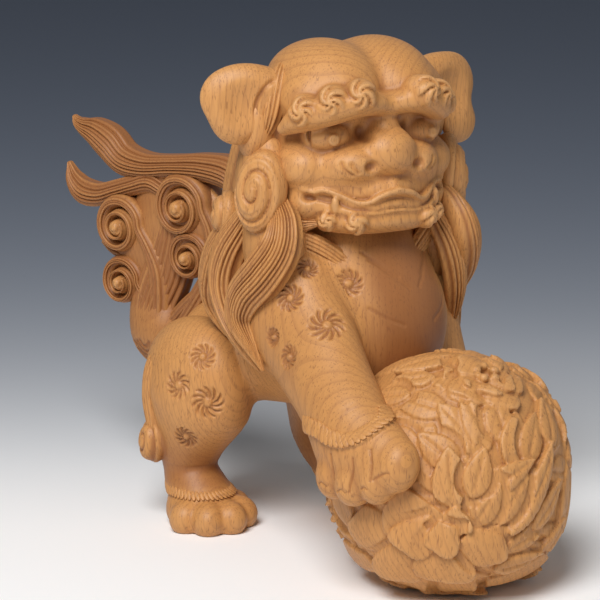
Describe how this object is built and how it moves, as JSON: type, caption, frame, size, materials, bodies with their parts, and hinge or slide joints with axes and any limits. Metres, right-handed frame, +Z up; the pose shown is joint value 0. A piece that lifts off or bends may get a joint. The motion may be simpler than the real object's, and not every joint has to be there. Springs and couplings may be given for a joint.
{
  "type": "carved lion figurine",
  "caption": "Standing guardian lion carved in wood, with curled mane and flame tail, one forepaw raised on a peony ball; a free-standing ornament glued up from carved blocks.",
  "frame": {"origin": "on the floor under the middle of the figure's box", "axes": "the lion looks along -Y, its left side is +X, and +Z is up"},
  "size_m": [0.1178, 0.2595, 0.1921],
  "materials": {
    "carved_wood": "oiled, satin",
    "dowel_wood": "bare, turned"
  },
  "bodies": {
    "root": {"trunk": "carved_wood", "head": "carved_wood", "ear_right": "carved_wood", "ear_left": "carved_wood", "tail": "carved_wood", "foreleg_right": "carved_wood", "foreleg_left": "carved_wood", "hindleg_right": "carved_wood", "hindleg_left": "carved_wood", "ball": "carved_wood", "hip_dowel_right_1": "dowel_wood", "hip_dowel_right_2": "dowel_wood", "hip_dowel_left_1": "dowel_wood", "hip_dowel_left_2": "dowel_wood", "shoulder_dowel_right_1": "dowel_wood", "shoulder_dowel_right_2": "dowel_wood", "shoulder_dowel_left_1": "dowel_wood", "shoulder_dowel_left_2": "dowel_wood", "neck_dowel_1": "dowel_wood", "neck_dowel_2": "dowel_wood", "ear_dowel_right": "dowel_wood", "ear_dowel_left": "dowel_wood", "tail_dowel_1": "dowel_wood", "tail_dowel_2": "dowel_wood", "paw_dowel": "dowel_wood"}
  },
  "joints": []
}
